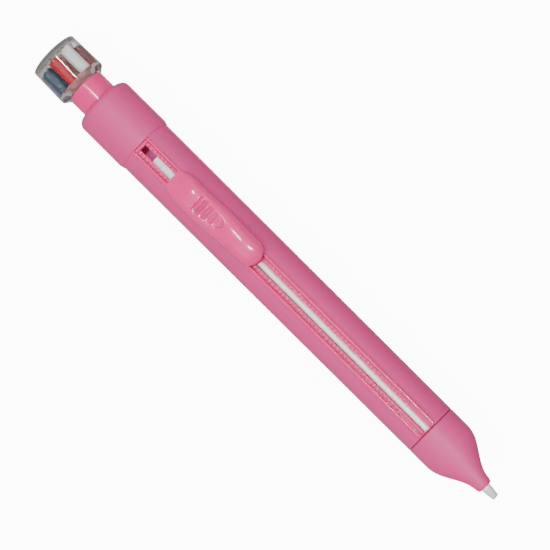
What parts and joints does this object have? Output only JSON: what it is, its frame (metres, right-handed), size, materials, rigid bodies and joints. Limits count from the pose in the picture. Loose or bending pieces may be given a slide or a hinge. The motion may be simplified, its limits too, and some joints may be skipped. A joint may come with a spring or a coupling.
{
  "type": "three d pen",
  "caption": "Hand-driven stick pen: a thumb slider in a toothed window feeds a white stick out of an eccentric nose, and a clear turning knob holds spare coloured sticks.",
  "frame": {"origin": "on the pen's axis at the collar's rear face, where the head's plug enters", "axes": "+X along the pen to the nose, +Z towards the window and the thumb slider, +Y completes it"},
  "size_m": [0.1469, 0.015, 0.0175],
  "materials": {
    "pink_satin": "satin moulded plastic",
    "pink_gloss": "glossy moulded plastic",
    "white_plastic": "moulded plastic",
    "silicone": "soft silicone",
    "spring_steel": "bright spring steel",
    "white_stick": "waxy white stick",
    "clear_plastic": "polished clear plastic",
    "red_stick": "waxy red stick",
    "blue_stick": "waxy blue stick",
    "violet_stick": "waxy violet stick",
    "orange_stick": "waxy orange stick",
    "maroon_stick": "waxy maroon stick"
  },
  "bodies": {
    "barrel": {"barrel": "pink_satin", "collar": "pink_satin", "feed_track": "pink_gloss", "nose_cone": "pink_satin", "guide_bush": "white_plastic", "brake_ring": "silicone"},
    "slider": {"slider_button": "pink_gloss", "carriage": "pink_gloss", "stick_holder": "white_plastic", "grip_leaf": "spring_steel", "pawl_spring": "spring_steel", "stick": "white_stick"},
    "head_ring": {"head_o_ring": "silicone", "selector_disc": "white_plastic"},
    "head": {"head_plug": "pink_gloss", "head_cap": "clear_plastic", "selector_screw": "spring_steel", "spare_stick_red": "red_stick", "spare_stick_blue": "blue_stick", "spare_stick_violet": "violet_stick", "spare_stick_orange": "orange_stick", "spare_stick_maroon": "maroon_stick", "spare_stick_white": "white_stick"}
  },
  "joints": [
    {"name": "slider_travel", "type": "slide", "parent": "barrel", "child": "slider", "axis": [1, 0, 0], "range_m": [-0.00944, 0.05428], "deforming": ["pawl_spring"]},
    {"name": "head_pull", "type": "slide", "parent": "barrel", "child": "head_ring", "axis": [-1, 0, 0], "range_m": [0, 0.012]},
    {"name": "head_turn", "type": "hinge", "parent": "head_ring", "child": "head", "pos_m": [0, 0, 0], "axis": [1, 0, 0], "continuous": true}
  ]
}
